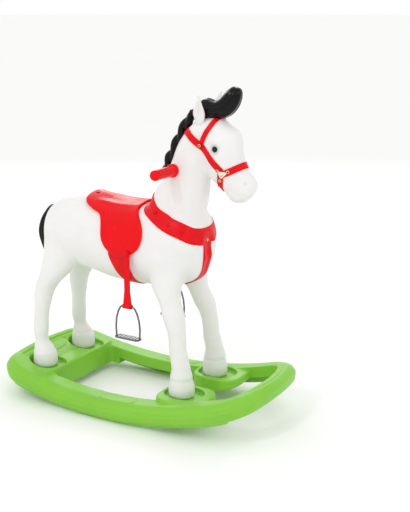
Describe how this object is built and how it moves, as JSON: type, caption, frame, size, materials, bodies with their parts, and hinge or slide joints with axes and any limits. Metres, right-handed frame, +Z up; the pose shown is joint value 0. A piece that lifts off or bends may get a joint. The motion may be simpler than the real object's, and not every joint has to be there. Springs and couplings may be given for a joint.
{
  "type": "rocking horse",
  "caption": "Moulded rocking horse with saddle, breast collar, bridle, side hand grips and swinging stirrups, bolted by its hooves to a curved rocker base with a large window.",
  "frame": {"origin": "on the floor under the middle of the rocker base's plan, which is the bottom centre of the bounding box", "axes": "+X points forwards, the way the horse faces; +Y points to the horse's left; +Z is up"},
  "size_m": [0.763, 0.3842, 0.8258],
  "materials": {
    "horse_plastic": "satin, white moulded plastic",
    "base_plastic": "satin, bright lime green moulded plastic",
    "harness_plastic": "semi-gloss red plastic strap",
    "seat_plastic": "glossy red moulded plastic",
    "hair_plastic": "glossy black moulded plastic",
    "grip_plastic": "semi-gloss red moulded grip",
    "eye_plastic": "high-gloss black",
    "link_plastic": "ivory plastic",
    "rivet_brass": "polished",
    "stirrup_steel": "polished",
    "screw_steel": "zinc-plated",
    "tube_steel": "drawn tube, hidden in the grips and the neck"
  },
  "bodies": {
    "horse": {"rocker_base": "base_plastic", "hoof_bolts": "screw_steel", "hoof_washers": "screw_steel", "horse_body": "horse_plastic", "right_ear": "horse_plastic", "left_ear": "horse_plastic", "breast_collar": "harness_plastic", "chest_strap": "harness_plastic", "girth_strap": "harness_plastic", "crown_strap": "harness_plastic", "brow_band": "harness_plastic", "cheek_straps": "harness_plastic", "nose_band": "harness_plastic", "chin_strap": "harness_plastic", "saddle": "seat_plastic", "forelock": "hair_plastic", "mane_braid": "hair_plastic", "tail": "hair_plastic", "right_grip": "grip_plastic", "left_grip": "grip_plastic", "right_eye": "eye_plastic", "left_eye": "eye_plastic", "bridle_links": "link_plastic", "bridle_rivets": "rivet_brass", "collar_rivets": "rivet_brass", "right_stirrup_pivot": "rivet_brass", "left_stirrup_pivot": "rivet_brass", "saddle_screw": "screw_steel", "handle_bar": "tube_steel"},
    "right_strap": {"right_stirrup_strap": "harness_plastic"},
    "right_iron": {"right_stirrup": "stirrup_steel"},
    "left_strap": {"left_stirrup_strap": "harness_plastic"},
    "left_iron": {"left_stirrup": "stirrup_steel"}
  },
  "joints": [
    {"name": "right_strap_swing", "type": "hinge", "parent": "horse", "child": "right_strap", "pos_m": [0.006, -0.1055, 0.417], "axis": [0, 1, 0], "range_deg": [-8, 40]},
    {"name": "right_iron_tilt", "type": "hinge", "parent": "right_strap", "child": "right_iron", "pos_m": [0.006, -0.1055, 0.283], "axis": [1, 0, 0], "range_deg": [-60, 25]},
    {"name": "left_strap_swing", "type": "hinge", "parent": "horse", "child": "left_strap", "pos_m": [0.006, 0.1055, 0.417], "axis": [0, 1, 0], "range_deg": [-8, 40]},
    {"name": "left_iron_tilt", "type": "hinge", "parent": "left_strap", "child": "left_iron", "pos_m": [0.006, 0.1055, 0.283], "axis": [1, 0, 0], "range_deg": [-25, 60]}
  ]
}
